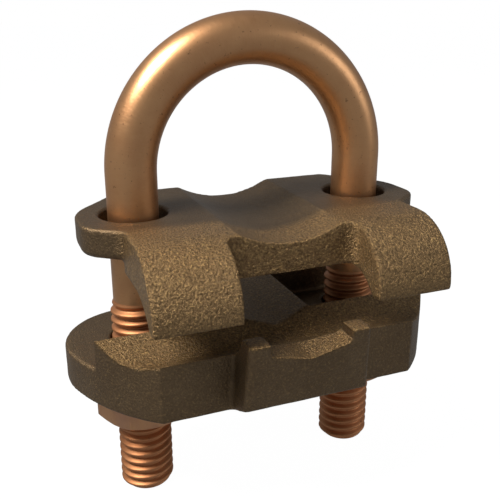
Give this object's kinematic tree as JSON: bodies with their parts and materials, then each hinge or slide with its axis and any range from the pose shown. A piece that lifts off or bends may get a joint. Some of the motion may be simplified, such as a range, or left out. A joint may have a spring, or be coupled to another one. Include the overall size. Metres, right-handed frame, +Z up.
{
  "type": "earth rod clamp",
  "caption": "U-bolt drawing a hooked saddle casting and a keeper casting together, to clamp an earth conductor along or across a ground rod.",
  "frame": {"origin": "midway between the two legs, on the flat top face of the saddle casting beside the rod seat", "axes": "+X from one leg to the other, +Y along the rod seat away from the hooks, +Z up the legs towards the bend"},
  "size_m": [0.0666, 0.0397, 0.0824],
  "materials": {
    "copper_bolt": "brushed, satin, copper coloured",
    "copper_nut": "machined, satin, copper coloured",
    "bronze_casting": "sand cast, aged dark brown with gold worn edges"
  },
  "bodies": {
    "bolt": {"u_bolt": "copper_bolt"},
    "keeper": {"keeper_casting": "bronze_casting"},
    "saddle": {"saddle_casting": "bronze_casting"},
    "left_nut": {"nut_left": "copper_nut"},
    "right_nut": {"nut_right": "copper_nut"}
  },
  "joints": [
    {"name": "take_up", "type": "slide", "parent": "bolt", "child": "keeper", "axis": [0, 0, 1], "range_m": [-0.012, 0.009]},
    {"name": "cable_gap", "type": "slide", "parent": "keeper", "child": "saddle", "axis": [0, 0, 1], "range_m": [-0.0085, 0]},
    {"name": "left_nut_turn", "type": "hinge", "parent": "keeper", "child": "left_nut", "pos_m": [-0.02057, 0, -0.0325], "axis": [0, 0, 1], "range_deg": [-2800, 2100]},
    {"name": "right_nut_turn", "type": "hinge", "parent": "keeper", "child": "right_nut", "pos_m": [0.02057, 0, -0.0325], "axis": [0, 0, 1], "range_deg": [-2800, 2100]}
  ],
  "couplings": [
    {"joint": "left_nut_turn", "follows": "take_up", "rad_per_m": 3957.9},
    {"joint": "right_nut_turn", "follows": "take_up", "rad_per_m": 3957.9}
  ]
}
